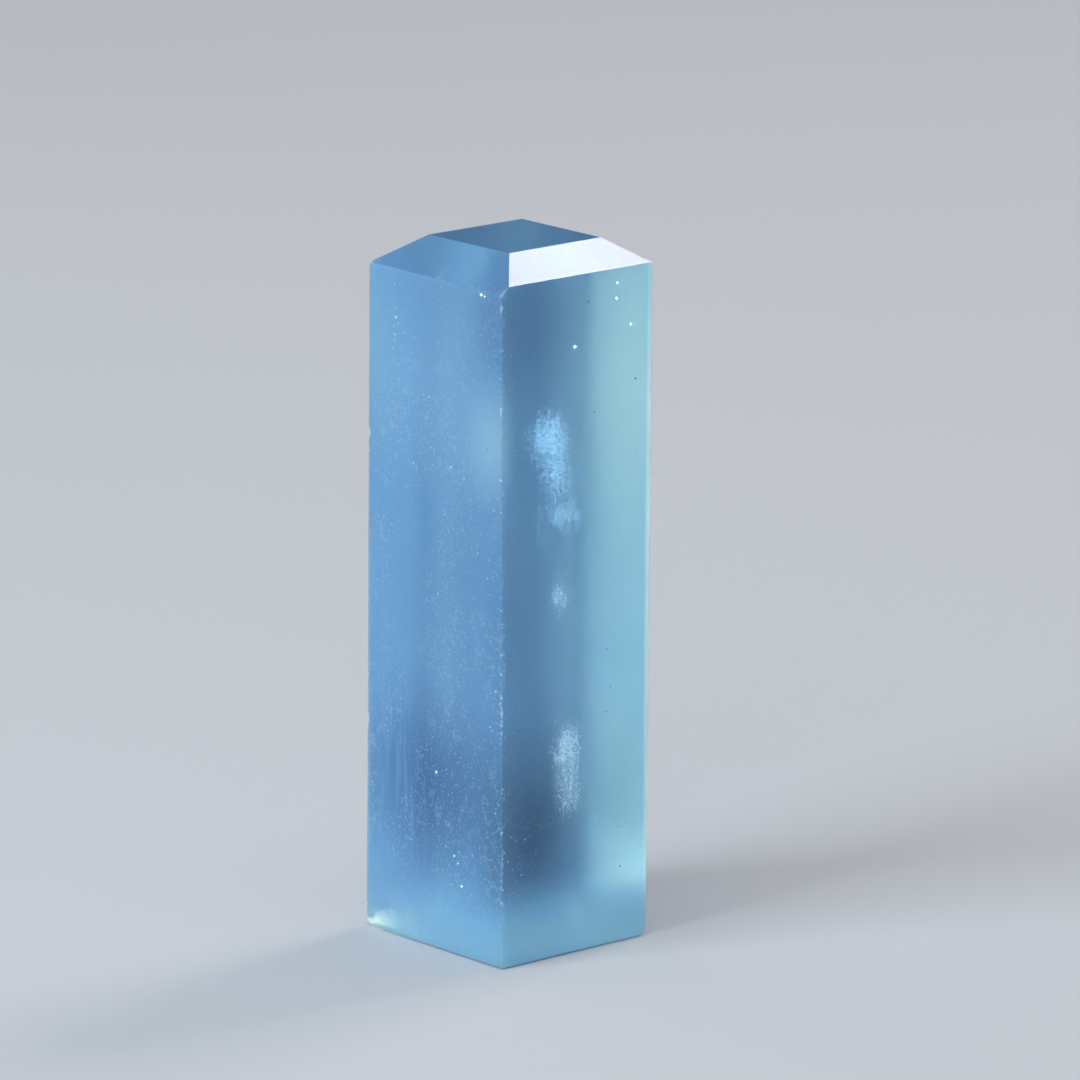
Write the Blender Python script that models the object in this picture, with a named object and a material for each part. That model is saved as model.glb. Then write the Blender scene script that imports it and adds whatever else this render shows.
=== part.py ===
"""A polished aquamarine column: one piece of beryl, lapped by hand to a square prism.

It stands on a flat base. Four crown facets lean in from the shoulders to a small flat table.
The stone has soft arrises, blunted corners and a few shell-shaped nicks along its upright edges.

Frame: metres, +Z up, origin under the middle of the stone, on its base. The broad sides face
-X, -Y, +X and +Y.
"""

import math

import bmesh
import bpy
from mathutils import Matrix, Vector

MM = 0.001

# Driving dimensions.
HEIGHT = 38.0 * MM
SHOULDER = 36.4 * MM  # where the sides end and the crown starts
HALF_WIDTH = 5.13 * MM  # from the axis to the sides that face -X and +X, at the base
HALF_DEPTH = 5.51 * MM  # from the axis to the sides that face -Y and +Y, at the base
ROUGH_BLOCK = 60.0 * MM  # the block that the facets are cut from

# How the edges between facets are softened.
ARRIS = 0.11 * MM
ARRIS_STEPS = 3
SHARP_ANGLE = math.radians(12.0)  # facets that meet at less than this are left alone

# Side facets: bearing of the outward normal, distance from the axis at the base, and how far
# the normal tips upwards. The tips differ, so no two sides are quite parallel.
SIDE_FACETS = (
    (179.8, HALF_WIDTH, -0.25),
    (270.0, HALF_DEPTH, 0.35),
    (89.95, HALF_DEPTH, 0.42),
    (-0.17, HALF_WIDTH, -0.33),
)

# Crown facets: bearing, distance from the axis to the table's edge, and slope from level.
# The one that faces -X is the steepest and is cut lowest, so it bites into the corner beside it.
CROWN_FACETS = (
    (180.8, 3.14 * MM, 36.9),
    (270.2, 3.41 * MM, 34.3),
    (89.5, 2.87 * MM, 34.1),
    (0.1, 3.32 * MM, 33.9),
)

# Blunted corners: which corner, by the signs of its X and Y, its height, and how deep it is cut.
BLUNTED_CORNERS = (
    ((1, -1), 0.0, 0.22 * MM),
    ((-1, 1), 0.0, 0.12 * MM),
    ((-1, 1), SHOULDER, 0.10 * MM),
    ((1, 1), 0.0, 0.24 * MM),
)

# Nicks on the upright edges: which edge, by the signs of its X and Y, the height of the nick's
# middle, how deep it bites into the edge, and how far the scoop is turned towards one side.
EDGE_NICKS = (
    ((-1, -1), 35.7 * MM, 0.14 * MM, 14.0),
    ((-1, -1), 29.9 * MM, 0.09 * MM, -20.0),
    ((-1, -1), 21.0 * MM, 0.10 * MM, 24.0),
    ((-1, -1), 14.0 * MM, 0.10 * MM, 9.0),
    ((-1, -1), 5.6 * MM, 0.09 * MM, 22.0),
    ((1, -1), 29.8 * MM, 0.10 * MM, -12.0),
    ((1, -1), 6.1 * MM, 0.09 * MM, 18.0),
    ((1, 1), 33.1 * MM, 0.20 * MM, 10.0),
    ((1, 1), 17.4 * MM, 0.13 * MM, -16.0),
    ((1, 1), 3.6 * MM, 0.16 * MM, 5.0),
    ((-1, 1), 27.2 * MM, 0.10 * MM, 13.0),
    ((-1, 1), 11.5 * MM, 0.12 * MM, -8.0),
)
SCOOP_RADIUS = 0.9 * MM  # the ball that matches a nick's hollow
SCOOP_SUBDIVISIONS = 3


def bearing_vector(bearing):
    """The level unit vector at a bearing in degrees, counted from +X towards +Y."""
    turn = math.radians(bearing)
    return Vector((math.cos(turn), math.sin(turn), 0.0))


def side_plane(bearing, reach, tip):
    """A point on a side facet and its outward normal."""
    level = bearing_vector(bearing)
    lean = math.radians(tip)
    return level * reach, level * math.cos(lean) + Vector((0.0, 0.0, math.sin(lean)))


def crown_plane(bearing, table_reach, slope):
    """A point on a crown facet, at the table's edge, and its outward normal."""
    level = bearing_vector(bearing)
    tilt = math.radians(slope)
    point = level * table_reach + Vector((0.0, 0.0, HEIGHT))
    return point, level * math.sin(tilt) + Vector((0.0, 0.0, math.cos(tilt)))


def upright_edge(signs, height):
    """The point at a height on the edge between two sides, named by the signs of its X and Y."""
    reach = {}
    for bearing, base_reach, tip in SIDE_FACETS:
        level = bearing_vector(bearing)
        reach[round(level.x), round(level.y)] = base_reach - height * math.tan(math.radians(tip))
    return Vector((signs[0] * reach[signs[0], 0], signs[1] * reach[0, signs[1]], height))


def corner_plane(signs, height, depth):
    """A plane that takes a corner off: it faces out through the corner, and down if at the base."""
    upwards = 1.0 if height > 0.0 else -1.0
    normal = Vector((signs[0], signs[1], upwards)).normalized()
    return upright_edge(signs, height) - normal * depth, normal


def cut(mesh, point, normal):
    """Cuts off what lies outside a plane and closes the mesh with a flat facet."""
    everything = mesh.verts[:] + mesh.edges[:] + mesh.faces[:]
    made = bmesh.ops.bisect_plane(
        mesh, geom=everything, plane_co=point, plane_no=normal, clear_outer=True
    )
    rim = [piece for piece in made["geom_cut"] if isinstance(piece, bmesh.types.BMEdge)]
    bmesh.ops.contextual_create(mesh, geom=rim)


def lapped_stone():
    """The prism with every facet cut and no edge softened yet."""
    mesh = bmesh.new()
    bmesh.ops.create_cube(mesh, size=ROUGH_BLOCK)
    bmesh.ops.translate(mesh, verts=mesh.verts, vec=(0.0, 0.0, ROUGH_BLOCK / 2))
    cut(mesh, Vector((0.0, 0.0, HEIGHT)), Vector((0.0, 0.0, 1.0)))
    for facet in SIDE_FACETS:
        cut(mesh, *side_plane(*facet))
    for facet in CROWN_FACETS:
        cut(mesh, *crown_plane(*facet))
    for corner in BLUNTED_CORNERS:
        cut(mesh, *corner_plane(*corner))
    bmesh.ops.recalc_face_normals(mesh, faces=mesh.faces)
    return mesh


def scoop_balls():
    """One mesh of balls, each grazing an upright edge and clear of the others."""
    mesh = bmesh.new()
    for signs, height, bite, turn in EDGE_NICKS:
        outward = Vector((signs[0], signs[1], 0.0)).normalized()
        side = Matrix.Rotation(math.radians(turn), 3, "Z") @ outward
        centre = upright_edge(signs, height) - outward * bite + side * SCOOP_RADIUS
        bmesh.ops.create_icosphere(
            mesh,
            subdivisions=SCOOP_SUBDIVISIONS,
            radius=SCOOP_RADIUS,
            matrix=Matrix.Translation(centre),
        )
    return mesh


def way_to_middle(mesh):
    """The level move that brings a mesh's bounding box over the origin."""
    low_x = min(vert.co.x for vert in mesh.verts)
    high_x = max(vert.co.x for vert in mesh.verts)
    low_y = min(vert.co.y for vert in mesh.verts)
    high_y = max(vert.co.y for vert in mesh.verts)
    return Vector((-(low_x + high_x) / 2, -(low_y + high_y) / 2, 0.0))


def to_object(name, mesh):
    """Puts a bmesh in the scene as a named object."""
    data = bpy.data.meshes.new(name)
    mesh.to_mesh(data)
    mesh.free()
    thing = bpy.data.objects.new(name, data)
    bpy.context.scene.collection.objects.link(thing)
    return thing


def milky_beryl():
    """Pale blue beryl, half clear and half milky, with a hand-polished surface."""
    material = bpy.data.materials.new("milky_beryl")
    material.use_nodes = True
    surface = material.node_tree.nodes["Principled BSDF"]
    surface.inputs["Base Color"].default_value = (0.16, 0.37, 0.62, 1.0)
    surface.inputs["Metallic"].default_value = 0.0
    surface.inputs["Roughness"].default_value = 0.12
    surface.inputs["IOR"].default_value = 1.577
    surface.inputs["Transmission Weight"].default_value = 0.5
    return material


def soften_edges(stone):
    """Rounds every edge between facets, as hand polishing does."""
    bevel = stone.modifiers.new("soft arrises", "BEVEL")
    bevel.width = ARRIS
    bevel.segments = ARRIS_STEPS
    bevel.limit_method = "ANGLE"
    bevel.angle_limit = SHARP_ANGLE
    bevel.use_clamp_overlap = True


def nick_edges(stone, balls):
    """Takes the shell-shaped nicks out of the upright edges."""
    balls.display_type = "WIRE"
    balls.hide_render = True
    boolean = stone.modifiers.new("nicks", "BOOLEAN")
    boolean.operation = "DIFFERENCE"
    boolean.object = balls
    boolean.solver = "EXACT"


def main():
    for thing in list(bpy.data.objects):
        bpy.data.objects.remove(thing)
    stone_mesh = lapped_stone()
    ball_mesh = scoop_balls()
    shift = way_to_middle(stone_mesh)
    for mesh in (stone_mesh, ball_mesh):
        bmesh.ops.translate(mesh, verts=mesh.verts, vec=shift)
    stone = to_object("aquamarine_crystal", stone_mesh)
    stone.data.materials.append(milky_beryl())
    soften_edges(stone)
    nick_edges(stone, to_object("nick_cutter", ball_mesh))


main()
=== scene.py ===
import math
import random

import bpy
import numpy as np
from mathutils import Euler, Matrix, Vector


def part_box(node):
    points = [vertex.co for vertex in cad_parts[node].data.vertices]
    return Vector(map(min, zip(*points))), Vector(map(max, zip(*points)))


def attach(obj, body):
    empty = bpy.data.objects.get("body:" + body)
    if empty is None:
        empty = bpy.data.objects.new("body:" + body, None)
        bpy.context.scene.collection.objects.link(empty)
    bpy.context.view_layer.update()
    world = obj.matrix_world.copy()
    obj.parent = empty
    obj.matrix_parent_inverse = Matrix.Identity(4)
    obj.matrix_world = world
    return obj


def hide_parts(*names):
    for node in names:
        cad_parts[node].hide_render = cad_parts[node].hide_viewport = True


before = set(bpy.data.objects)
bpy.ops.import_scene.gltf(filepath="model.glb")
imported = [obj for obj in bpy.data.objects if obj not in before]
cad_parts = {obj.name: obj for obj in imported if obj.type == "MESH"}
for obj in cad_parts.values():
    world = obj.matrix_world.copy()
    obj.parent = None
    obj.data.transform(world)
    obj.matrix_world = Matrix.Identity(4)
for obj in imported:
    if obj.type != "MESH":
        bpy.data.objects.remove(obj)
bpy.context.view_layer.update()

MM = 0.001
STONE_NODE = "aquamarine_crystal"
BODY = "root"
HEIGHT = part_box(STONE_NODE)[1].z
SHOULDER = 36.4 * MM  # where the sides end and the crown starts
UP = Vector((0.0, 0.0, 1.0))
SEED = 7  # for the chance places of chips, pits and grains

# The facets the stone was lapped to. Bearings are in degrees from +X towards +Y, tips and slopes
# in degrees, and distances are from the upright line that the lapping was measured from.
LAPPING_LINE = Vector((-0.0242 * MM, -0.0021 * MM, 0.0))
HALF_WIDTH = 5.13 * MM
HALF_DEPTH = 5.51 * MM
SIDE_FACETS = (
    (179.8, HALF_WIDTH, -0.25),
    (270.0, HALF_DEPTH, 0.35),
    (89.95, HALF_DEPTH, 0.42),
    (-0.17, HALF_WIDTH, -0.33),
)
SAME_SIDE = 1.0  # bearings that differ by less name the same side
CROWN_FACETS = (
    (180.8, 3.14 * MM, 36.9),
    (270.2, 3.41 * MM, 34.3),
    (89.5, 2.87 * MM, 34.1),
    (0.1, 3.32 * MM, 33.9),
)
# Blunted corners: the signs of X and Y, the height, and how deep the corner is cut.
BLUNTED_CORNERS = (
    ((1, -1), 0.0, 0.22 * MM),
    ((-1, 1), 0.0, 0.12 * MM),
    ((-1, 1), SHOULDER, 0.10 * MM),
    ((-1, -1), SHOULDER, 0.12 * MM),
    ((1, 1), 0.0, 0.24 * MM),
)
ROUGH_BLOCK = 60 * MM  # the block that the facets are cut from
ON_THE_CUT = 0.0001 * MM  # a corner this near a facet's plane counts as on it
# How the edges between facets are softened.
ARRIS = 0.11 * MM
ARRIS_STEPS = 5
SHARP_ANGLE = math.radians(12.0)  # facets that meet at less than this are left alone

# The finishes, in the order of the stone's material slots.
POLISHED, LAPPED, CHIPPED, RUBBED_AND_HIGHLIT, PACKED = range(5)
UPRIGHT_LEAN = 0.05  # a face whose normal rises less than this is upright
BASE_NORMAL = -0.9  # a face whose normal is lower than this looks down
BASE_LEVEL = 0.01 * MM  # and it is the base if it lies below this
# The corner of the crown that was knocked off: how square to it its faces look, how far they rise,
# and how far from the corner they lie.
KNOCKED_SQUARE = 0.25
KNOCKED_RISE = (0.3, 0.75)
KNOCKED_REACH = 0.4 * MM

# The larger nicks on the upright edges: the signs of X and Y, height, bite, and turn of the scoop.
EDGE_NICKS = (
    ((-1, -1), 35.7 * MM, 0.07 * MM, 14.0),
    ((-1, -1), 29.9 * MM, 0.05 * MM, -20.0),
    ((-1, -1), 21.0 * MM, 0.07 * MM, 24.0),
    ((-1, -1), 14.0 * MM, 0.07 * MM, 9.0),
    ((-1, -1), 5.6 * MM, 0.06 * MM, 22.0),
    ((1, -1), 29.8 * MM, 0.08 * MM, -12.0),
    ((1, -1), 6.1 * MM, 0.07 * MM, 18.0),
    ((1, 1), 33.1 * MM, 0.20 * MM, 10.0),
    ((1, 1), 17.4 * MM, 0.13 * MM, -16.0),
    ((1, 1), 3.6 * MM, 0.16 * MM, 5.0),
    ((-1, 1), 27.2 * MM, 0.10 * MM, 13.0),
    ((-1, 1), 11.5 * MM, 0.12 * MM, -8.0),
)
SCOOP = 0.9 * MM  # the ball that matches a nick's hollow

# Stretches of the upright edges that are nibbled: low end, high end, and how many tiny chips.
NIBBLED_EDGES = (
    (
        (-1, -1),
        (
            (1 * MM, 35 * MM, 40),
            (29 * MM, 31 * MM, 8),
            (19.5 * MM, 22.5 * MM, 16),
            (12.5 * MM, 15.5 * MM, 14),
            (3.5 * MM, 7.5 * MM, 14),
        ),
    ),
    ((1, -1), ((1 * MM, 35 * MM, 16),)),
    ((1, 1), ((1 * MM, 35 * MM, 22),)),
    ((-1, 1), ((1 * MM, 35 * MM, 22),)),
)
CHIP_SIZE = (0.04, 0.1)  # mm, smallest and largest
CHIP_BITE = (0.3, 0.8)  # how much of a chip's size it bites into the edge
CHIP_ASIDE = 0.06  # mm, how far chips stray from the middle of the edge
CHIP_LENGTH = (0.8, 1.8)  # a chip's length for its width
ARRIS_LOSS = ARRIS * (math.sqrt(2) - 1) * 0.7  # how far softening draws the edge back

# Pits: the side's bearing, low and high end, middle and spread across it, and how many.
PITS = (
    (180.0, 1 * MM, 36 * MM, 0.0, 3.5 * MM, 50),
    (180.0, 3 * MM, 30 * MM, 5.1 * MM, 0.4 * MM, 60),
    (180.0, 19.5 * MM, 22.5 * MM, 5.2 * MM, 0.4 * MM, 30),
    (180.0, 12.5 * MM, 15.5 * MM, 5.0 * MM, 0.5 * MM, 34),
    (180.0, 20 * MM, 24 * MM, 3.4 * MM, 0.6 * MM, 16),
    (180.0, 1.5 * MM, 9 * MM, 3.0 * MM, 1.2 * MM, 34),
    (180.0, 32 * MM, 36.2 * MM, -3.4 * MM, 0.9 * MM, 70),
    (180.0, 24 * MM, 30 * MM, -2.0 * MM, 1.0 * MM, 30),
    (270.0, 3 * MM, 34 * MM, -4.7 * MM, 0.35 * MM, 70),
    (270.0, 2 * MM, 7 * MM, -4.2 * MM, 0.6 * MM, 40),
    (270.0, 12.5 * MM, 15.0 * MM, -4.0 * MM, 0.6 * MM, 16),
    (270.0, 1 * MM, 36 * MM, 1.5 * MM, 2.5 * MM, 24),
    (0.0, 1 * MM, 36 * MM, 0.0, 4.0 * MM, 40),
    (90.0, 1 * MM, 36 * MM, 0.0, 4.0 * MM, 40),
)
PIT_REACH = 5.3 * MM  # how far across a side pits can lie
PIT_SIZE = 0.025  # mm, the smallest
PIT_GROWTH = 0.045  # mm, how much larger the largest is
PIT_STANDOFF = (0.1, 0.6)  # how far out of the side a pit's middle lies, for its size
PIT_LENGTH = (0.8, 1.5)  # a pit's length for its width
# Pits with a bright crumb left in them: the side's bearing, how far across it to the right, the
# height, and half the crumb's width.
BRIGHT_PITS = (
    (180.0, 0.18 * MM, 9.66 * MM, 0.06 * MM),
    (180.0, 1.65 * MM, 5.35 * MM, 0.05 * MM),
    (180.0, 1.95 * MM, 5.0 * MM, 0.035 * MM),
    (180.0, 2.25 * MM, 3.8 * MM, 0.045 * MM),
    (180.0, -3.23 * MM, 35.6 * MM, 0.035 * MM),
    (180.0, -3.1 * MM, 33.8 * MM, 0.04 * MM),
    (180.0, -3.17 * MM, 32.55 * MM, 0.03 * MM),
    (180.0, 1.35 * MM, 26.5 * MM, 0.035 * MM),
    (180.0, 3.72 * MM, 36.13 * MM, 0.05 * MM),
    (180.0, 4.0 * MM, 36.1 * MM, 0.03 * MM),
    (270.0, -0.07 * MM, 32.89 * MM, 0.075 * MM),
    (270.0, 2.87 * MM, 35.92 * MM, 0.065 * MM),
    (270.0, 2.82 * MM, 35.1 * MM, 0.05 * MM),
    (270.0, 3.81 * MM, 33.58 * MM, 0.055 * MM),
)
# Pits with polishing compound left in them: the bearing, across, the height, and half the width.
DARK_PITS = (
    (270.0, 4.15 * MM, 30.6 * MM, 0.065 * MM),
    (270.0, 0.8 * MM, 35.2 * MM, 0.05 * MM),
    (270.0, 1.27 * MM, 29.2 * MM, 0.04 * MM),
    (270.0, 2.2 * MM, 16.2 * MM, 0.045 * MM),
    (270.0, 2.5 * MM, 14.1 * MM, 0.04 * MM),
    (270.0, 2.2 * MM, 12.8 * MM, 0.045 * MM),
    (270.0, 3.1 * MM, 6.3 * MM, 0.04 * MM),
    (270.0, 3.25 * MM, 4.1 * MM, 0.06 * MM),
    (180.0, -3.4 * MM, 22.3 * MM, 0.04 * MM),
    (180.0, 2.2 * MM, 16.8 * MM, 0.04 * MM),
    (0.0, -1.9 * MM, 20.5 * MM, 0.05 * MM),
    (0.0, 3.3 * MM, 8.2 * MM, 0.04 * MM),
    (90.0, 1.2 * MM, 25.4 * MM, 0.05 * MM),
)
# How wide these pits are for what is left in them, and, for their own width, how long they are
# and how far out of the side their middle lies.
DARK_PIT_WIDTH = 1.0
BRIGHT_PIT_WIDTH = 1.9
LARGER_PIT_LENGTH = 1.3
LARGER_PIT_STANDOFF = 0.1
# Slivers thinner than this are left where chips meet, and are merged.
SLIVER = 0.002 * MM
# How finely the balls that cut are divided: the larger nicks, and every smaller chip and pit.
NICK_STEPS = 3
CHIP_STEPS = 1

# Colour zones in the stone: centre, half sizes (mm), colour and strength. Some are growth zones.
# The others are painted light and shade, standing in for the light and dark that the stone's
# surroundings give it: painted dark bands on the front side, painted highlights along the upright
# edges, and a painted glow at the foot and at the lower left corner.
ZONES = (
    ((-5.2, 0.5, 9.0), (3.0, 8.5, 7.0), "#3a6fa6", 0.95),
    ((-3.0, -5.6, 7.0), (5.6, 3.2, 9.5), "#295678", 1.0),
    ((-3.5, -5.5, 34.5), (5.5, 3.5, 6.0), "#5687b8", 0.8),
    ((-4.5, -5.5, 18.0), (4.0, 2.0, 9.0), "#5288b8", 0.4),
    ((3.6, -5.4, 30.0), (5.0, 2.0, 12.0), "#b4d8e4", 0.6),
    ((2.6, -5.4, 7.8), (4.5, 2.0, 6.5), "#5a8dae", 0.6),
    ((-5.3, -4.2, 28.4), (1.4, 3.1, 4.6), "#bdeaff", 1.0),
    ((-5.2, 0.0, 31.0), (2.0, 6.5, 9.0), "#9accf2", 0.7),
    ((-5.2, 5.0, 32.0), (2.0, 3.5, 8.0), "#a6d6ee", 0.5),
    ((2.6, -5.4, 1.8), (3.8, 1.5, 3.0), "#c4eeff", 1.0),
    ((-0.7, -5.4, 10.4), (1.3, 1.0, 3.4), "#b0d2ea", 0.45),
    ((5.15, -5.5, 18.0), (0.4, 0.6, 30.0), "#f0faff", 1.0),
    ((-5.2, 5.5, 18.0), (0.6, 0.4, 30.0), "#cfeafa", 0.7),
    ((-5.3, 4.9, 0.5), (1.2, 1.9, 0.9), "#fff8de", 0.9),
)
# The milky clouds of trapped fluid under the front face: centre, half sizes (mm), how many grains,
# how wide a grain is (mm), and how thickly the finest of them whiten the face in front.
CLOUDS = (
    ((-1.4, -4.4, 28.1), (1.35, 0.4, 1.3), 2200, 0.05, 0.24),
    ((-0.9, -4.5, 27.4), (1.0, 0.3, 1.2), 500, 0.05, 0.2),
    ((-0.95, -4.45, 26.0), (1.3, 0.4, 1.2), 900, 0.05, 0.34),
    ((-0.65, -4.7, 23.9), (1.35, 0.3, 1.3), 640, 0.05, 0.33),
    ((-0.95, -5.1, 19.4), (0.8, 0.15, 1.3), 220, 0.05, 0.46),
    ((-0.4, -5.15, 11.2), (1.4, 0.12, 1.8), 640, 0.05, 0.66),
    ((-0.25, -5.15, 9.0), (1.3, 0.12, 2.0), 500, 0.05, 0.6),
)
CLOUD_SPREAD = 0.42  # how far wisps stray from a cloud's middle, for its half sizes
GRAINS_IN_WISP = 10
WISP_SPREAD = (0.2, 0.08, 0.28)  # mm, how far grains stray from a wisp's middle
CLEAR_OF_FACETS = 0.06 * MM  # grains keep this far below the surface
GRAIN_GROWTH = (0.6, 1.4)  # the smallest and largest of a piece's grains, for their usual size
# The whitening in front of a cloud: how far to the left of the cloud it lies, its depth on the
# front side, and its half sizes, two of them for the cloud's own.
HAZE_LEFT = 0.25
HAZE_FRONT = -5.4
HAZE_ACROSS = 1.55
HAZE_DEEP = 1.5
HAZE_TALL = 1.5
# The crack at the blunted corner: where it starts (mm), how many grains it is drawn with, how
# fast they thin out (per mm), how it rises and fans out as it goes, how deep it lies under the
# left side (mm), and how wide a grain is.
FEATHER_CORNER = Vector((-5.2, 5.4, 0.1))
FEATHER_GRAINS = 1500
FEATHER_FADE = 0.65
FEATHER_RISE = 0.2
FEATHER_FAN = (0.1, 0.25)
FEATHER_DEPTH = (0.05, 0.9)
FEATHER_GRAIN = 0.022 * MM

# Where a finish or the foot's painted glow starts and where it is in full: on the left side by X,
# on the front side by Y, in the painted glow of the foot by Z, and in the frost of the two back
# sides by X and by Y.
LEFT_SIDE = (-4.9 * MM, -5.0 * MM)
FRONT_SIDE = (-5.0 * MM, -5.15 * MM)
PAINTED_FOOT_GLOW = (5.0 * MM, 0.5 * MM)
FROST_BY_X = (0.5 * MM, 5.1 * MM)
FROST_BY_Y = (2.5 * MM, 5.4 * MM)
# Where silk shows, and the painted highlight that whitens the arrises most: centre, half sizes
# (mm), strength.
SILK_ZONE = ((-5.2, 3.0, 9.0), (2.0, 5.0, 13.0), 0.28)
PAINTED_ARRIS_HIGHLIGHT = ((6.0, -6.0, 19.0), (5.0, 5.0, 40.0), 0.9)
BERYL_IOR = 1.577
BLUE_PER_METRE = 50.0  # how thickly the blue absorbs

# ---- Materials ----------------------------------------------------------------------------------


def linear(hex_colour):
    """An sRGB hex colour as linear RGBA."""
    parts = [int(hex_colour[i : i + 2], 16) / 255 for i in (1, 3, 5)]
    return [p / 12.92 if p <= 0.04045 else ((p + 0.055) / 1.055) ** 2.4 for p in parts] + [1.0]


def per_mm(size):
    """The texture scale that makes a pattern's features this many millimetres wide."""
    return 1.0 / (size * MM)


def add(tree, kind, inputs=None, **settings):
    """Adds a node, sets its properties, and sets or links its inputs."""
    made = tree.nodes.new(kind)
    for name, value in settings.items():
        setattr(made, name, value)
    for name, value in (inputs or {}).items():
        if isinstance(value, bpy.types.NodeSocket):
            tree.links.new(value, made.inputs[name])
        else:
            made.inputs[name].default_value = value
    return made


def new_material(name):
    """An empty node material, its tree, and its output node."""
    material = bpy.data.materials.new(name)
    material.use_nodes = True
    material.node_tree.nodes.clear()
    return material, material.node_tree, material.node_tree.nodes.new("ShaderNodeOutputMaterial")


def pocket(tree, place, centre, reach, strength=1.0):
    """A mask for an egg-shaped zone of the stone, fading outwards from its middle; sizes in mm."""
    local = add(
        tree,
        "ShaderNodeMapping",
        {"Vector": place, "Location": [c * MM for c in centre], "Scale": [r * MM for r in reach]},
        vector_type="TEXTURE",
    )
    away = add(tree, "ShaderNodeVectorMath", {0: local.outputs["Vector"]}, operation="LENGTH")
    fade = add(
        tree,
        "ShaderNodeMapRange",
        {"Value": away.outputs["Value"], "From Min": 1.0, "From Max": 0.0, "To Max": strength},
        interpolation_type="SMOOTHSTEP",
    )
    return fade.outputs["Result"]


def mottling(tree, place, width, low, high, strength=1.0, detail=2.0, stretch=(1.0, 1.0, 1.0)):
    """A mask of irregular patches this many millimetres wide, stretched by axis."""
    local = add(
        tree,
        "ShaderNodeMapping",
        {"Vector": place, "Scale": [per_mm(width) / s for s in stretch]},
    )
    noise = add(
        tree,
        "ShaderNodeTexNoise",
        {"Vector": local.outputs["Vector"], "Scale": 1.0, "Detail": detail},
    )
    patches = add(
        tree,
        "ShaderNodeMapRange",
        {"Value": noise.outputs["Fac"], "From Min": low, "From Max": high, "To Max": strength},
        interpolation_type="SMOOTHSTEP",
    )
    return patches.outputs["Result"]


def scratch_curls(tree, place):
    """A mask of short curly scratches, as a slipping polishing pad leaves."""
    # Real ones are a few hundredths of a millimetre wide; these are 0.06 mm, as fine as shows.
    local = add(tree, "ShaderNodeMapping", {"Vector": place, "Scale": [per_mm(0.5)] * 3})
    noise = add(
        tree, "ShaderNodeTexNoise", {"Vector": local.outputs["Vector"], "Scale": 1.0, "Detail": 1.0}
    )
    level = add(tree, "ShaderNodeMath", {0: noise.outputs["Fac"], 1: 0.5}, operation="SUBTRACT")
    ridge = add(tree, "ShaderNodeMath", {0: level.outputs["Value"]}, operation="ABSOLUTE")
    line = add(
        tree,
        "ShaderNodeMapRange",
        {"Value": ridge.outputs["Value"], "From Min": 0.07, "From Max": 0.03},
        interpolation_type="SMOOTHSTEP",
    )
    broken = add(
        tree,
        "ShaderNodeMath",
        {0: line.outputs["Result"], 1: mottling(tree, place, 0.7, 0.52, 0.6)},
        operation="MULTIPLY",
    )
    return broken.outputs["Value"]


def blue_body(tree, out):
    """The blue of aquamarine, which comes from iron in the beryl and deepens inside the stone."""
    absorb = add(
        tree,
        "ShaderNodeVolumeAbsorption",
        {"Color": linear("#6febfd"), "Density": BLUE_PER_METRE},
    )
    tree.links.new(absorb.outputs["Volume"], out.inputs["Volume"])


def zoning_and_painted_light(tree, place):
    """The colour of the stone: patches about 5 mm wide, then the zones that can be told apart, some
    of them growth zones and the others painted light and shade.
    """
    patches = mottling(tree, place, 5.0, 0.35, 0.65, stretch=(1, 1, 1.8))
    colour = add(
        tree,
        "ShaderNodeMix",
        {"Factor": patches, 6: linear("#7ab2dd"), 7: linear("#82b6e0")},
        data_type="RGBA",
    ).outputs[2]
    # Some zones are growth colour; the others are painted light and shade.
    for centre, reach, zone_colour, strength in ZONES:
        zone = pocket(tree, place, centre, reach, strength)
        colour = add(
            tree,
            "ShaderNodeMix",
            {"Factor": zone, 6: colour, 7: linear(zone_colour)},
            data_type="RGBA",
        ).outputs[2]
    return colour


def cloud_haze(tree, place, colour):
    """The finest grains of the clouds, too many to model, which whiten the face before them."""
    # Dots 0.13 mm wide, thick in the middle of a cloud and thinning out at its edge.
    dots = mottling(tree, place, 0.13, 0.0, 1.0, detail=1.0)
    for centre, reach, _, _, thickness in CLOUDS:
        before = (centre[0] - HAZE_LEFT, HAZE_FRONT, centre[2])
        spread = (reach[0] * HAZE_ACROSS, HAZE_DEEP, reach[2] * HAZE_TALL)
        haze = pocket(tree, place, before, spread, thickness)
        crowd = add(tree, "ShaderNodeMath", {0: dots, 1: haze}, operation="ADD")
        shown = add(
            tree,
            "ShaderNodeMapRange",
            {"Value": crowd.outputs["Value"], "From Min": 0.95, "From Max": 1.1, "To Max": 0.7},
        )
        colour = add(
            tree,
            "ShaderNodeMix",
            {"Factor": shown.outputs["Result"], 6: colour, 7: linear("#d6e9f6")},
            data_type="RGBA",
        ).outputs[2]
    return colour


def crown_and_foot(tree, axes, crown, colour):
    """The crown's facets are bluer, and the lowest 5 mm of the stone have a painted pale glow."""
    bluer = add(tree, "ShaderNodeMath", {0: crown, 1: 0.7}, operation="MULTIPLY").outputs["Value"]
    colour = add(
        tree, "ShaderNodeMix", {"Factor": bluer, 6: colour, 7: linear("#74b6dd")}, data_type="RGBA"
    ).outputs[2]
    foot = add(
        # The painted glow: paler towards the bottom, in full below 0.5 mm.
        tree,
        "ShaderNodeMapRange",
        {"Value": axes["Z"], "From Min": PAINTED_FOOT_GLOW[0], "From Max": PAINTED_FOOT_GLOW[1], "To Max": 0.9},
        interpolation_type="SMOOTHSTEP",
    ).outputs["Result"]
    return add(
        tree, "ShaderNodeMix", {"Factor": foot, 6: colour, 7: linear("#aee2ff")}, data_type="RGBA"
    ).outputs[2]


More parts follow.
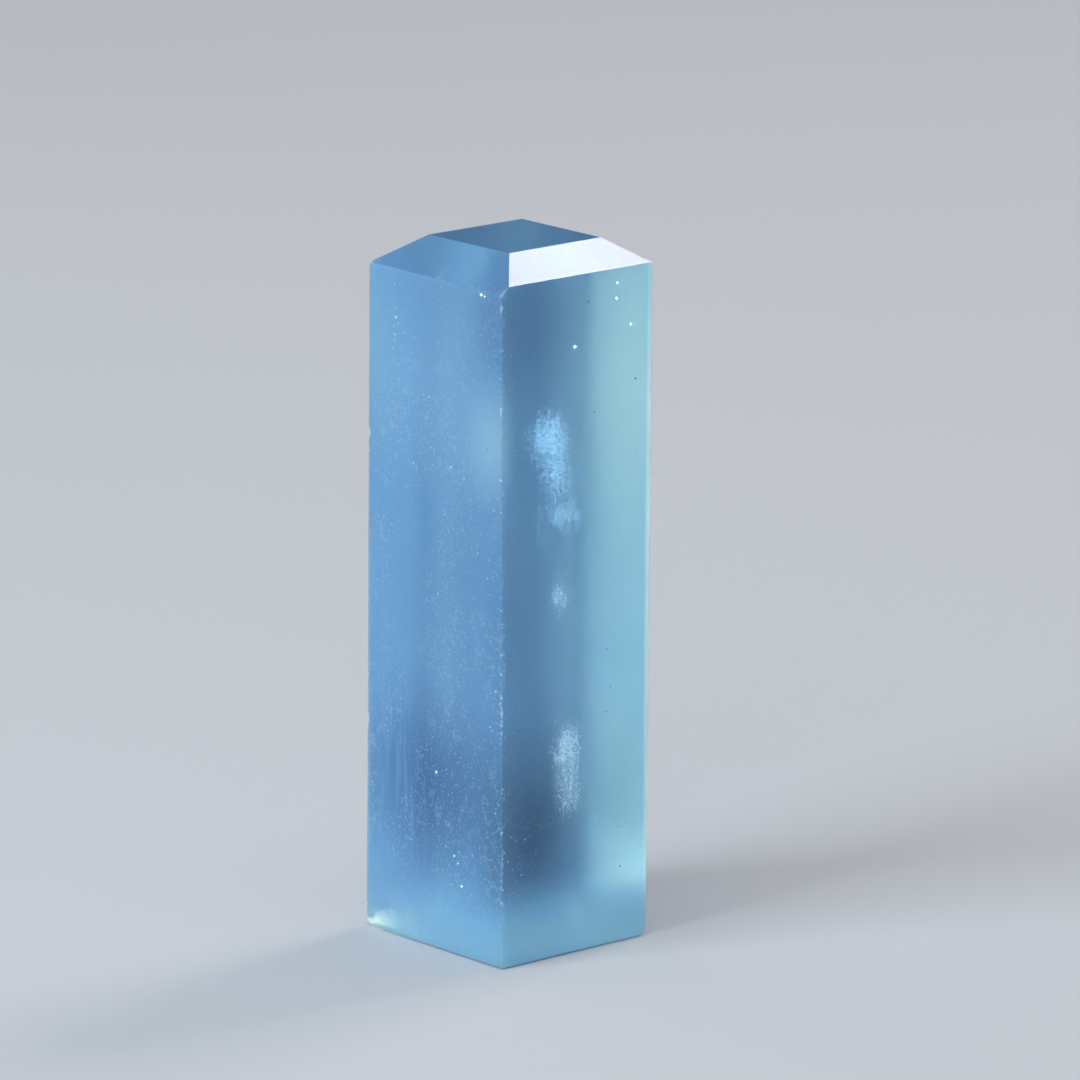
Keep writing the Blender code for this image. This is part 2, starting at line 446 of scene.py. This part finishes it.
def growth_silk(tree, place, colour):
    """Silk: fine upright growth tubes that catch the light low on the left side."""
    # Real ones are thinner than a hair; these are 0.2 mm wide so that they show.
    silk = mottling(tree, place, 0.22, 0.45, 0.7, detail=1.0, stretch=(1, 1, 16))
    silky = add(
        tree,
        "ShaderNodeMath",
        {0: silk, 1: pocket(tree, place, *SILK_ZONE)},
        operation="MULTIPLY",
    ).outputs["Value"]
    return add(
        tree, "ShaderNodeMix", {"Factor": silky, 6: colour, 7: linear("#a9cdf0")}, data_type="RGBA"
    ).outputs[2]


def polish_marks(tree, place, axes, colour):
    """Curls and flecks about 0.1 mm wide, in drifts 3 mm across, thickest on the left side."""
    flecks = mottling(tree, place, 0.13, 0.66, 0.76, detail=0.0)
    drifts = mottling(tree, place, 3.0, 0.35, 0.57, 0.6, stretch=(1, 1, 1.5))
    marks = add(
        tree,
        "ShaderNodeMath",
        {0: scratch_curls(tree, place), 1: 0.42, 2: flecks},
        operation="MULTIPLY_ADD",
        use_clamp=True,
    ).outputs["Value"]
    left_side = add(
        tree,
        "ShaderNodeMapRange",
        {"Value": axes["X"], "From Min": LEFT_SIDE[0], "From Max": LEFT_SIDE[1], "To Min": 0.17},
    ).outputs["Result"]
    thickest = add(tree, "ShaderNodeMath", {0: drifts, 1: left_side}, operation="MULTIPLY")
    scuffed = add(
        tree, "ShaderNodeMath", {0: marks, 1: thickest.outputs["Value"]}, operation="MULTIPLY"
    ).outputs["Value"]
    return add(
        tree, "ShaderNodeMix", {"Factor": scuffed, 6: colour, 7: linear("#d6ecfb")}, data_type="RGBA"
    ).outputs[2]


def dullness(tree, axes, crown):
    """The roughness: the two sides that were handled most are hazier, the other two are frosted
    towards the edge between them, and the crown is bright."""
    rubbed_left = add(
        tree,
        "ShaderNodeMapRange",
        {"Value": axes["X"], "From Min": LEFT_SIDE[0], "From Max": LEFT_SIDE[1], "To Max": 0.16},
    )
    rubbed_front = add(
        tree,
        "ShaderNodeMapRange",
        {"Value": axes["Y"], "From Min": FRONT_SIDE[0], "From Max": FRONT_SIDE[1], "To Max": 0.16},
    )
    rubbed = add(
        tree,
        "ShaderNodeMath",
        {0: rubbed_left.outputs["Result"], 1: rubbed_front.outputs["Result"]},
        operation="MAXIMUM",
    )
    frost_across = add(
        tree,
        "ShaderNodeMapRange",
        {"Value": axes["X"], "From Min": FROST_BY_X[0], "From Max": FROST_BY_X[1], "To Max": 0.5},
        interpolation_type="SMOOTHSTEP",
    )
    frost_along = add(
        tree,
        "ShaderNodeMapRange",
        {"Value": axes["Y"], "From Min": FROST_BY_Y[0], "From Max": FROST_BY_Y[1]},
        interpolation_type="SMOOTHSTEP",
    )
    frost = add(
        tree,
        "ShaderNodeMath",
        {
            0: frost_across.outputs["Result"],
            1: frost_along.outputs["Result"],
            2: rubbed.outputs["Value"],
        },
        operation="MULTIPLY_ADD",
    )
    sides = add(tree, "ShaderNodeMath", {0: frost.outputs["Value"], 1: 0.13}, operation="ADD")
    return add(
        tree,
        "ShaderNodeMapRange",
        {"Value": crown, "To Min": sides.outputs["Value"], "To Max": 0.1},
    ).outputs["Result"]


# Aquamarine, the blue beryl, with facets lapped flat and hand polished. The crown is bright. The
# sides are faintly hazy, so what is behind them is smeared into soft bands of light and dark, and
# the haze itself shows as a milky blue. More bands of light and dark, highlights and a glow at the
# foot are painted into its colour. Nothing behind the stone can be made out.
def hand_polished_beryl():
    material, tree, out = new_material("hand_polished_beryl")
    coordinates = add(tree, "ShaderNodeTexCoord").outputs
    place = coordinates["Object"]
    axes = add(tree, "ShaderNodeSeparateXYZ", {"Vector": place}).outputs
    facing = add(tree, "ShaderNodeSeparateXYZ", {"Vector": coordinates["Normal"]}).outputs
    crown = add(
        tree, "ShaderNodeMapRange", {"Value": facing["Z"], "From Min": 0.1, "From Max": 0.5}
    ).outputs["Result"]
    colour = zoning_and_painted_light(tree, place)
    colour = cloud_haze(tree, place, colour)
    colour = crown_and_foot(tree, axes, crown, colour)
    colour = growth_silk(tree, place, colour)
    colour = polish_marks(tree, place, axes, colour)
    surface = add(
        tree,
        "ShaderNodeBsdfPrincipled",
        {
            "Base Color": colour,
            "Roughness": dullness(tree, axes, crown),
            "IOR": BERYL_IOR,
            "Transmission Weight": 0.65,
            "Subsurface Weight": 1.0,
            "Subsurface Radius": (1.0, 1.0, 1.0),
            "Subsurface Scale": 1.0 * MM,
        },
    )
    tree.links.new(surface.outputs["BSDF"], out.inputs["Surface"])
    blue_body(tree, out)
    return material


# The same beryl where it was only lapped flat, not polished, for the stone to stand on. It is
# frosted all over, with swirls 0.4 mm wide from the grit, so it shows only as a soft glow.
def lapped_base_beryl():
    material, tree, out = new_material("lapped_base_beryl")
    place = add(tree, "ShaderNodeTexCoord").outputs["Object"]
    swirls = mottling(tree, place, 0.4, 0.35, 0.65, stretch=(2.5, 1, 1))
    colour = add(
        tree,
        "ShaderNodeMix",
        {"Factor": swirls, 6: linear("#c8dff2"), 7: linear("#d8eaf6")},
        data_type="RGBA",
    ).outputs[2]
    surface = add(
        tree,
        "ShaderNodeBsdfPrincipled",
        {"Base Color": colour, "Roughness": 0.6, "IOR": BERYL_IOR, "Transmission Weight": 1.0},
    )
    tree.links.new(surface.outputs["BSDF"], out.inputs["Surface"])
    blue_body(tree, out)
    return material


# The same beryl where it has chipped. A fresh break is shell-shaped and finely stepped, so it
# scatters light and shows as a pale fleck, some brighter than others.
def fresh_chip_beryl():
    material, tree, out = new_material("fresh_chip_beryl")
    place = add(tree, "ShaderNodeTexCoord").outputs["Object"]
    tone = mottling(tree, place, 0.5, 0.4, 0.6, detail=0.0)
    colour = add(
        tree,
        "ShaderNodeMix",
        {"Factor": tone, 6: linear("#9cc6e6"), 7: linear("#e2f2fd")},
        data_type="RGBA",
    ).outputs[2]
    surface = add(
        tree,
        "ShaderNodeBsdfPrincipled",
        {"Base Color": colour, "Roughness": 0.3, "IOR": BERYL_IOR, "Transmission Weight": 0.3},
    )
    tree.links.new(surface.outputs["BSDF"], out.inputs["Surface"])
    blue_body(tree, out)
    return material


# The same beryl along the arrises, rubbed dull by handling. It draws a thin pale line, broken
# every half millimetre or so where the polish has held, and a painted highlight whitens it most
# along the upright edge where the +X and -Y sides meet.
def rubbed_and_highlit_arris_beryl():
    material, tree, out = new_material("rubbed_and_highlit_arris_beryl")
    place = add(tree, "ShaderNodeTexCoord").outputs["Object"]
    rubbed = mottling(tree, place, 0.5, 0.35, 0.6)
    colour = add(
        tree,
        "ShaderNodeMix",
        {"Factor": rubbed, 6: linear("#7fb0d6"), 7: linear("#a9cde8")},
        data_type="RGBA",
    ).outputs[2]
    # A painted highlight, whitest along the upright edge where the +X and -Y sides meet.
    painted_highlight = pocket(tree, place, *PAINTED_ARRIS_HIGHLIGHT)
    colour = add(
        tree, "ShaderNodeMix", {"Factor": painted_highlight, 6: colour, 7: linear("#f2fafe")}, data_type="RGBA"
    ).outputs[2]
    surface = add(
        tree,
        "ShaderNodeBsdfPrincipled",
        {"Base Color": colour, "Roughness": 0.35, "IOR": BERYL_IOR, "Transmission Weight": 0.2},
    )
    tree.links.new(surface.outputs["BSDF"], out.inputs["Surface"])
    blue_body(tree, out)
    return material


# Polishing compound packed into a pinprick pit: a dull grey-blue dot.
def packed_compound():
    material, tree, out = new_material("packed_compound")
    place = add(tree, "ShaderNodeTexCoord").outputs["Object"]
    crumb = mottling(tree, place, 0.05, 0.35, 0.65)
    colour = add(
        tree,
        "ShaderNodeMix",
        {"Factor": crumb, 6: linear("#3f6c86"), 7: linear("#5c8da8")},
        data_type="RGBA",
    ).outputs[2]
    surface = add(tree, "ShaderNodeBsdfPrincipled", {"Base Color": colour, "Roughness": 0.9})
    tree.links.new(surface.outputs["BSDF"], out.inputs["Surface"])
    return material


# ---- The stone ----------------------------------------------------------------------------------


def bearing_vector(bearing):
    """The level unit vector at a bearing."""
    turn = math.radians(bearing)
    return Vector((math.cos(turn), math.sin(turn), 0.0))


def upright_edge(signs, height):
    """The point at a height on the edge between two sides, by the signs of its X and Y."""
    reach = {}
    for bearing, base_reach, tip in SIDE_FACETS:
        level = bearing_vector(bearing)
        reach[round(level.x), round(level.y)] = base_reach - height * math.tan(math.radians(tip))
    flat = Vector((signs[0] * reach[signs[0], 0], signs[1] * reach[0, signs[1]], height))
    return LAPPING_LINE + flat


def facet_planes():
    """A point on each facet and its outward normal, in the order the facets were cut."""
    table = LAPPING_LINE + UP * HEIGHT
    planes = [(table, UP)]
    for bearing, reach, tip in SIDE_FACETS:
        level = bearing_vector(bearing)
        lean = math.radians(tip)
        planes.append((LAPPING_LINE + level * reach, level * math.cos(lean) + UP * math.sin(lean)))
    for bearing, reach, slope in CROWN_FACETS:
        level = bearing_vector(bearing)
        tilt = math.radians(slope)
        planes.append((table + level * reach, level * math.sin(tilt) + UP * math.cos(tilt)))
    for signs, height, depth in BLUNTED_CORNERS:
        normal = Vector((signs[0], signs[1], 1.0 if height > 0.0 else -1.0)).normalized()
        planes.append((upright_edge(signs, height) - normal * depth, normal))
    return planes


def clear_selection():
    """Deselects everything, because an operator acts on all that is selected."""
    bpy.ops.object.select_all(action="DESELECT")


def lapped_block():
    """A rough cube cut to shape facet by facet, with its arrises softened."""
    clear_selection()
    bpy.ops.mesh.primitive_cube_add(size=ROUGH_BLOCK, location=UP * ROUGH_BLOCK / 2)
    stone = bpy.context.object
    stone.name = "polished_stone"
    bpy.ops.object.transform_apply(location=True, rotation=True, scale=True)
    bpy.ops.object.mode_set(mode="EDIT")
    for point, normal in facet_planes():
        bpy.ops.mesh.select_all(action="SELECT")
        bpy.ops.mesh.bisect(
            plane_co=point, plane_no=normal, use_fill=True, clear_outer=True, threshold=ON_THE_CUT
        )
    bpy.ops.mesh.select_all(action="SELECT")
    bpy.ops.mesh.normals_make_consistent(inside=False)
    bpy.ops.object.mode_set(mode="OBJECT")
    for finish in (
        hand_polished_beryl(),
        lapped_base_beryl(),
        fresh_chip_beryl(),
        rubbed_and_highlit_arris_beryl(),
        packed_compound(),
    ):
        stone.data.materials.append(finish)
    bevel = stone.modifiers.new("soft arrises", "BEVEL")
    bevel.width = ARRIS
    bevel.segments = ARRIS_STEPS
    bevel.limit_method = "ANGLE"
    bevel.angle_limit = SHARP_ANGLE
    bevel.material = RUBBED_AND_HIGHLIT
    bpy.ops.object.modifier_apply(modifier=bevel.name)
    return stone


def scoop_copies(places, subdivisions):
    """One mesh of copies of a ball, each at its own centre with its own radii and turn."""
    clear_selection()
    bpy.ops.mesh.primitive_ico_sphere_add(subdivisions=subdivisions, radius=1.0)
    pattern = bpy.context.object
    copies = []
    for centre, radii, turn in places:
        copy = pattern.copy()
        copy.data = pattern.data.copy()
        stretched = Matrix.Diagonal((*radii, 1.0))
        turned = Euler(turn).to_matrix().to_4x4()
        copy.data.transform(Matrix.Translation(centre) @ turned @ stretched)
        bpy.context.scene.collection.objects.link(copy)
        copies.append(copy)
    bpy.data.objects.remove(pattern)
    clear_selection()
    for copy in copies:
        copy.select_set(True)
    bpy.context.view_layer.objects.active = copies[0]
    bpy.ops.object.join()
    copies[0].name = "scoops"
    return copies[0]


def any_turn():
    """A random turn about each axis."""
    return [random.uniform(0.0, math.tau) for _ in range(3)]


def nick_scoops():
    """The round scoops of the larger nicks."""
    scoops = []
    for signs, height, bite, turn in EDGE_NICKS:
        outward = Vector((signs[0], signs[1], 0.0)).normalized()
        side = Matrix.Rotation(math.radians(turn), 3, "Z") @ outward
        centre = upright_edge(signs, height) - outward * bite + side * SCOOP
        scoops.append((centre, (SCOOP, SCOOP, SCOOP), (0.0, 0.0, 0.0)))
    return scoops


def nibble_scoops():
    """The tiny angular chips along the edges, most of them on the edge that has been knocked most."""
    scoops = []
    for signs, runs in NIBBLED_EDGES:
        outward = Vector((signs[0], signs[1], 0.0)).normalized()
        for low, high, count in runs:
            for _ in range(count):
                size = random.uniform(*CHIP_SIZE) * MM
                bite = random.uniform(*CHIP_BITE) * size
                height = random.uniform(low, high)
                edge = upright_edge(signs, height) - outward * ARRIS_LOSS
                aside = Vector((-outward.y, outward.x, 0.0)) * random.gauss(0.0, CHIP_ASIDE) * MM
                centre = edge + outward * (size - bite) + aside
                radii = (size, size, size * random.uniform(*CHIP_LENGTH))
                scoops.append((centre, radii, any_turn()))
    return scoops


def on_side(bearing, across, height):
    """The point of a side facet at a distance across it, to the right as it is faced, and a height."""
    for facet_bearing, reach, tip in SIDE_FACETS:
        if abs(facet_bearing - bearing) < SAME_SIDE:
            level = bearing_vector(facet_bearing)
            right = UP.cross(level)
            out = reach - height * math.tan(math.radians(tip))
            return LAPPING_LINE + level * out + right * across + UP * height, level


def pit_scoops():
    """Pinprick pits in the sides, scattered, and crowded beside the front edge."""
    scoops = []
    for bearing, low, high, middle, spread, count in PITS:
        for _ in range(count):
            across = random.gauss(middle, spread)
            if abs(across) > PIT_REACH:
                continue
            size = (PIT_SIZE + PIT_GROWTH * random.random() ** 2) * MM
            place, outward = on_side(bearing, across, random.uniform(low, high))
            centre = place + outward * size * random.uniform(*PIT_STANDOFF)
            radii = (size, size, size * random.uniform(*PIT_LENGTH))
            scoops.append((centre, radii, any_turn()))
    return scoops


def larger_pit_scoops(pits, width):
    """The larger pits, each so many times as wide as what is left in it."""
    scoops = []
    for bearing, across, height, half_width in pits:
        place, outward = on_side(bearing, across, height)
        radii = [half_width * width * s for s in (1.0, 1.0, LARGER_PIT_LENGTH)]
        centre = place + outward * half_width * width * LARGER_PIT_STANDOFF
        scoops.append((centre, radii, any_turn()))
    return scoops


def cut_away(stone, scoops, subdivisions, finish):
    """Cuts scoops out of the stone, and gives their hollows a finish."""
    cutter = scoop_copies(scoops, subdivisions)
    cutter.data.materials.clear()
    cutter.data.materials.append(stone.data.materials[finish])
    clear_selection()
    bpy.context.view_layer.objects.active = stone
    stone.select_set(True)
    boolean = stone.modifiers.new("chips", "BOOLEAN")
    boolean.operation = "DIFFERENCE"
    boolean.solver = "EXACT"
    boolean.use_self = True
    boolean.material_mode = "TRANSFER"
    boolean.object = cutter
    bpy.ops.object.modifier_apply(modifier=boolean.name)
    bpy.data.objects.remove(cutter)


def merge_slivers(stone):
    """Merges the slivers that are left where chips meet, because they leave the mesh open."""
    clear_selection()
    bpy.context.view_layer.objects.active = stone
    stone.select_set(True)
    bpy.ops.object.mode_set(mode="EDIT")
    bpy.ops.mesh.select_all(action="SELECT")
    bpy.ops.mesh.quads_convert_to_tris()
    bpy.ops.mesh.remove_doubles(threshold=SLIVER)
    bpy.ops.mesh.dissolve_degenerate(threshold=SLIVER)
    bpy.ops.object.mode_set(mode="OBJECT")


def give_finishes(stone):
    """Keeps the rubbed finish, with its painted highlight, to the upright arrises and the foot's,
    frosts the base, and shows the knocked corner of the crown as chipped."""
    knocked = upright_edge((-1, -1), SHOULDER)
    low, high = KNOCKED_RISE
    for face in stone.data.polygons:
        upright = abs(face.normal.z) < UPRIGHT_LEAN or face.center.z < ARRIS
        if face.material_index == RUBBED_AND_HIGHLIT and not upright:
            face.material_index = POLISHED
        if face.normal.z < BASE_NORMAL and face.center.z < BASE_LEVEL:
            face.material_index = LAPPED
        square_on = abs(face.normal.x - face.normal.y) < KNOCKED_SQUARE and low < face.normal.z < high
        if square_on and (face.center - knocked).length < KNOCKED_REACH:
            face.material_index = CHIPPED


def polished_stone():
    """The dressed stone: the lapped block, with its chips and pits cut, the larger ones first."""
    stone = lapped_block()
    give_finishes(stone)
    cut_away(stone, larger_pit_scoops(DARK_PITS, DARK_PIT_WIDTH), CHIP_STEPS, PACKED)
    cut_away(stone, larger_pit_scoops(BRIGHT_PITS, BRIGHT_PIT_WIDTH), CHIP_STEPS, CHIPPED)
    cut_away(stone, nick_scoops(), NICK_STEPS, CHIPPED)
    cut_away(stone, nibble_scoops(), CHIP_STEPS, CHIPPED)
    cut_away(stone, pit_scoops(), CHIP_STEPS, CHIPPED)
    merge_slivers(stone)
    for face in stone.data.polygons:
        face.use_smooth = False
    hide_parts(STONE_NODE)
    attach(stone, BODY)
    return stone


# ---- The grains in the stone --------------------------------------------------------------------


def inside_stone(place):
    """Whether a place is in the stone and clear of its facets."""
    return all((place - point).dot(normal) < -CLEAR_OF_FACETS for point, normal in FACETS)


def grain_copies(grains, name, material):
    """One mesh of tiny eight-sided grains, copied from one that is modelled."""
    clear_selection()
    bpy.ops.mesh.primitive_uv_sphere_add(segments=4, ring_count=2, radius=1.0)
    pattern = bpy.context.object
    corners = np.array([v.co for v in pattern.data.vertices])
    sides = [list(f.vertices) for f in pattern.data.polygons]
    bpy.data.objects.remove(pattern)
    points, faces = [], []
    for centre, radius in grains:
        turn = np.array(Euler(any_turn()).to_matrix())
        start = len(points) * len(corners)
        growth = random.uniform(*GRAIN_GROWTH)
        points.append(corners @ turn.T * radius * growth + np.array(centre))
        faces += [[v + start for v in side] for side in sides]
    mesh = bpy.data.meshes.new(name)
    mesh.from_pydata(np.concatenate(points).tolist(), [], faces)
    mesh.materials.append(material)
    piece = bpy.data.objects.new(name, mesh)
    bpy.context.scene.collection.objects.link(piece)
    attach(piece, BODY)
    return piece


# Fluid trapped in tiny voids as the beryl grew. Each void is a white speck, and together they are
# a milky cloud, denser in drifts about a millimetre wide.
def trapped_fluid():
    material, tree, out = new_material("trapped_fluid")
    place = add(tree, "ShaderNodeTexCoord").outputs["Object"]
    drifts = mottling(tree, place, 1.0, 0.35, 0.65)
    colour = add(
        tree,
        "ShaderNodeMix",
        {"Factor": drifts, 6: linear("#dbeaf6"), 7: linear("#f2f8fc")},
        data_type="RGBA",
    ).outputs[2]
    surface = add(tree, "ShaderNodeBsdfPrincipled", {"Base Color": colour, "Roughness": 0.5})
    tree.links.new(surface.outputs["BSDF"], out.inputs["Surface"])
    return material


# The faces of a crack in the beryl, which throw back the light as a warm white feather, with
# barbs about half a millimetre wide.
def crack_feather():
    material, tree, out = new_material("crack_feather")
    place = add(tree, "ShaderNodeTexCoord").outputs["Object"]
    barbs = mottling(tree, place, 0.5, 0.35, 0.65, stretch=(1, 3, 1))
    colour = add(
        tree,
        "ShaderNodeMix",
        {"Factor": barbs, 6: linear("#fdeec2"), 7: linear("#fff6dc")},
        data_type="RGBA",
    ).outputs[2]
    surface = add(tree, "ShaderNodeBsdfPrincipled", {"Base Color": colour, "Roughness": 0.3})
    tree.links.new(surface.outputs["BSDF"], out.inputs["Surface"])
    return material


def milky_clouds():
    """The clouds, each of wisps scattered about its middle."""
    grains = []
    for centre, reach, count, width, _ in CLOUDS:
        for _ in range(count // GRAINS_IN_WISP):
            wisp = [c + r * random.gauss(0.0, CLOUD_SPREAD) for c, r in zip(centre, reach)]
            for _ in range(GRAINS_IN_WISP):
                spread = (random.gauss(0.0, r) for r in WISP_SPREAD)
                place = Vector([w + s for w, s in zip(wisp, spread)]) * MM
                if inside_stone(place):
                    grains.append((place, width / 2 * MM))
    return grain_copies(grains, "milky_clouds", trapped_fluid())


def bright_crumbs():
    """The crumb in each bright pit, below the side's surface and as white as the clouds. However it
    grows, it reaches half_width from its middle at the most."""
    grains = []
    for bearing, across, height, half_width in BRIGHT_PITS:
        place, outward = on_side(bearing, across, height)
        grains.append((place - outward * half_width, half_width / GRAIN_GROWTH[1]))
    return grain_copies(grains, "bright_crumbs", trapped_fluid())


def corner_feather():
    """The bright crack that fans out from the blunted lower left corner, across the left side."""
    grains = []
    for _ in range(FEATHER_GRAINS):
        away = random.expovariate(FEATHER_FADE)
        rise = abs(random.gauss(FEATHER_RISE * away, FEATHER_FAN[0] + FEATHER_FAN[1] * away))
        place = (FEATHER_CORNER + Vector((random.uniform(*FEATHER_DEPTH), -away, rise))) * MM
        if inside_stone(place):
            grains.append((place, FEATHER_GRAIN))
    return grain_copies(grains, "corner_feather", crack_feather())


FACETS = facet_planes()
random.seed(SEED)
stone = polished_stone()
clouds = milky_clouds()
crumbs = bright_crumbs()
feather = corner_feather()


# ---- Camera, floor and lights -------------------------------------------------------------------

CAMERA_BEARING = math.radians(-41.663)  # turned from looking along +Y
CAMERA_DIP = math.radians(13.716)
CAMERA_ROLL = math.radians(0.429)
CAMERA_DISTANCE = 471.0 * MM
CAMERA_AIM = Vector((1.226 * MM, -1.115 * MM, 21.495 * MM))
CAMERA_LENS = 295.68
SENSOR = 36.0
NEAREST = 10 * MM
FARTHEST = 10.0

FLOOR_SIZE = 4.0
FLOOR_LEVEL = -0.08 * MM
# Soft studio lights: the way to each (to the camera's right, away behind the stone, up), its
# distance, size, radiance and colour.
SOFTBOXES = (
    ("crown_light", (0.45, 0.465, 0.76), 0.6, (0.16, 0.16), 9.5, "#fff6f8"),
    ("top_light", (0.0, -0.1, 1.0), 0.9, (0.6, 0.6), 1.2, "#ffffff"),
    ("front_light", (-0.25, -1.0, 0.55), 0.9, (0.5, 0.5), 0.9, "#ffffff"),
    ("left_light", (-1.0, -0.7, 0.7), 0.6, (0.3, 0.3), 8.5, "#e2f1ff"),
    ("rim_light", (-0.52, 0.50, 0.70), 0.6, (0.3, 0.3), 0.6, "#d8f0ff"),
)
# Upright soft panels beside the stone: how far to the camera's right, radiance and colour. They
# reach from in front of the stone's middle to well behind it, and are 60 mm high.
PANELS = (
    ("left_panel", -7.9 * MM, 5.2, "#ffcb98"),
    ("right_panel", 7.9 * MM, 0.9, "#fff8e8"),
)
PANEL_REACH = (-2.0 * MM, 40 * MM)
PANEL_HEIGHT = 60 * MM
# Bright cards lying under or beside the stone: middle, size, radiance and colour.
FLOOR_CARDS = (
    ("base_card", (0.0, 0.0), (11 * MM, 11 * MM), 1.5, "#c2e4ff"),
    ("right_foot_card", (2.4 * MM, 0.0), (3.5 * MM, 11 * MM), 4.5, "#dceeff"),
    ("behind_card", (1.5 * MM, 7.3 * MM), (13 * MM, 3.4 * MM), 0.3, "#ffffff"),
    ("left_card", (-4.4 * MM, 10.0 * MM), (8.2 * MM, 8.5 * MM), 3.2, "#ffcb98"),
)
CARD_LEVEL = -0.05 * MM
INCLUSION_PANEL = (30 * MM, 50 * MM)
OFF_THE_SIDE = 2 * MM
# The studio behind the lights: dim up to this height of the view, then brighter to the top.
DIM_UP_TO = 0.1
DIM = 0.1
BRIGHT = 0.35


def from_camera(right, behind, up):
    """A vector given to the camera's right, away behind the stone, and up."""
    return Matrix.Rotation(CAMERA_BEARING, 3, "Z") @ Vector((right, behind, up))


def camera():
    """The camera, a little above the stone, facing the edge between its left and front sides."""
    back = from_camera(0, -math.cos(CAMERA_DIP), math.sin(CAMERA_DIP))
    data = bpy.data.cameras.new("camera")
    data.lens = CAMERA_LENS
    data.sensor_width = SENSOR
    data.clip_start = NEAREST
    data.clip_end = FARTHEST
    cam = bpy.data.objects.new("camera", data)
    bpy.context.scene.collection.objects.link(cam)
    cam.location = CAMERA_AIM + back * CAMERA_DISTANCE
    level = (-back).to_track_quat("-Z", "Y").to_matrix()
    cam.rotation_euler = (level @ Matrix.Rotation(CAMERA_ROLL, 3, "Z")).to_euler()
    bpy.context.scene.camera = cam


def floor():
    """A plain pale floor of matt paper."""
    clear_selection()
    bpy.ops.mesh.primitive_plane_add(size=FLOOR_SIZE, location=(0, 0, FLOOR_LEVEL))
    sheet = bpy.context.object
    sheet.name = "floor"
    material, tree, out = new_material("floor_paper")
    surface = add(
        tree,
        "ShaderNodeBsdfPrincipled",
        {"Base Color": linear("#d9dadb"), "Roughness": 0.8, "Specular IOR Level": 0.2},
    )
    tree.links.new(surface.outputs["BSDF"], out.inputs["Surface"])
    sheet.data.materials.append(material)


def lamp(name, size, radiance, colour):
    """A flat light that the camera doesn't see."""
    data = bpy.data.lights.new(name, "AREA")
    data.shape = "RECTANGLE"
    data.size, data.size_y = size
    data.energy = radiance * math.pi * size[0] * size[1]
    data.color = linear(colour)[:3]
    made = bpy.data.objects.new(name, data)
    bpy.context.scene.collection.objects.link(made)
    made.visible_camera = False
    return made


def softbox(name, way, distance, size, radiance, colour):
    """A studio light aimed at the middle of the stone."""
    made = lamp(name, size, radiance, colour)
    way = from_camera(*way).normalized()
    made.location = UP * HEIGHT / 2 + way * distance
    made.rotation_euler = (-way).to_track_quat("-Z", "Y").to_euler()


def panel(name, right, radiance, colour):
    """An upright soft panel beside the stone, seen only through the stone."""
    front_edge, back_edge = PANEL_REACH
    made = lamp(name, (back_edge - front_edge, PANEL_HEIGHT), radiance, colour)
    made.location = from_camera(right, (front_edge + back_edge) / 2, PANEL_HEIGHT / 2)
    facing = from_camera(-math.copysign(1.0, right), 0, 0)
    made.rotation_euler = facing.to_track_quat("-Z", "Y").to_euler()
    only = bpy.data.collections.new(name + " lights")
    only.objects.link(stone)
    made.light_linking.receiver_collection = only
    made.visible_diffuse = False
    made.visible_glossy = False


def inclusion_panel(name, pieces, bearing, radiance, colour="#ffffff"):
    """A soft panel off a side, which reaches these pieces in the stone and nothing else."""
    made = lamp(name, INCLUSION_PANEL, radiance, colour)
    outward = bearing_vector(bearing)
    made.location = UP * HEIGHT / 2 + outward * (HALF_DEPTH + OFF_THE_SIDE)
    made.rotation_euler = (-outward).to_track_quat("-Z", "Y").to_euler()
    only = bpy.data.collections.new(name + " lights")
    for piece in pieces:
        only.objects.link(piece)
    made.light_linking.receiver_collection = only
    made.light_linking.blocker_collection = only


def floor_card(name, middle, size, radiance, colour):
    """A bright card that faces up, seen only through the stone."""
    made = lamp(name, size, radiance, colour)
    made.location = Vector((*middle, CARD_LEVEL))
    made.rotation_euler = (math.pi, 0.0, 0.0)
    made.visible_diffuse = False
    made.visible_glossy = False


def studio():
    """The dim room round the stone, a little brighter overhead."""
    room = bpy.data.worlds.new("studio")
    bpy.context.scene.world = room
    room.use_nodes = True
    tree = room.node_tree
    tree.nodes.clear()
    way = add(tree, "ShaderNodeTexCoord").outputs["Generated"]
    up = add(tree, "ShaderNodeSeparateXYZ", {"Vector": way}).outputs["Z"]
    strength = add(
        tree,
        "ShaderNodeMapRange",
        {"Value": up, "From Min": DIM_UP_TO, "To Min": DIM, "To Max": BRIGHT},
    )
    back = add(
        tree,
        "ShaderNodeBackground",
        {"Color": linear("#f2f7ff"), "Strength": strength.outputs["Result"]},
    )
    out = add(tree, "ShaderNodeOutputWorld")
    tree.links.new(back.outputs["Background"], out.inputs["Surface"])


camera()
floor()
studio()
for light in SOFTBOXES:
    softbox(*light)
for light in PANELS:
    panel(*light)
for card in FLOOR_CARDS:
    floor_card(*card)
inclusion_panel("cloud_panel", (clouds, feather), 270.0, 1.5, "#fff6ea")
inclusion_panel("left_inclusion_panel", (clouds, feather, crumbs), 180.0, 2.0)
inclusion_panel("crumb_panel", (crumbs,), 270.0, 6.0)
bpy.context.scene.view_settings.view_transform = "Standard"
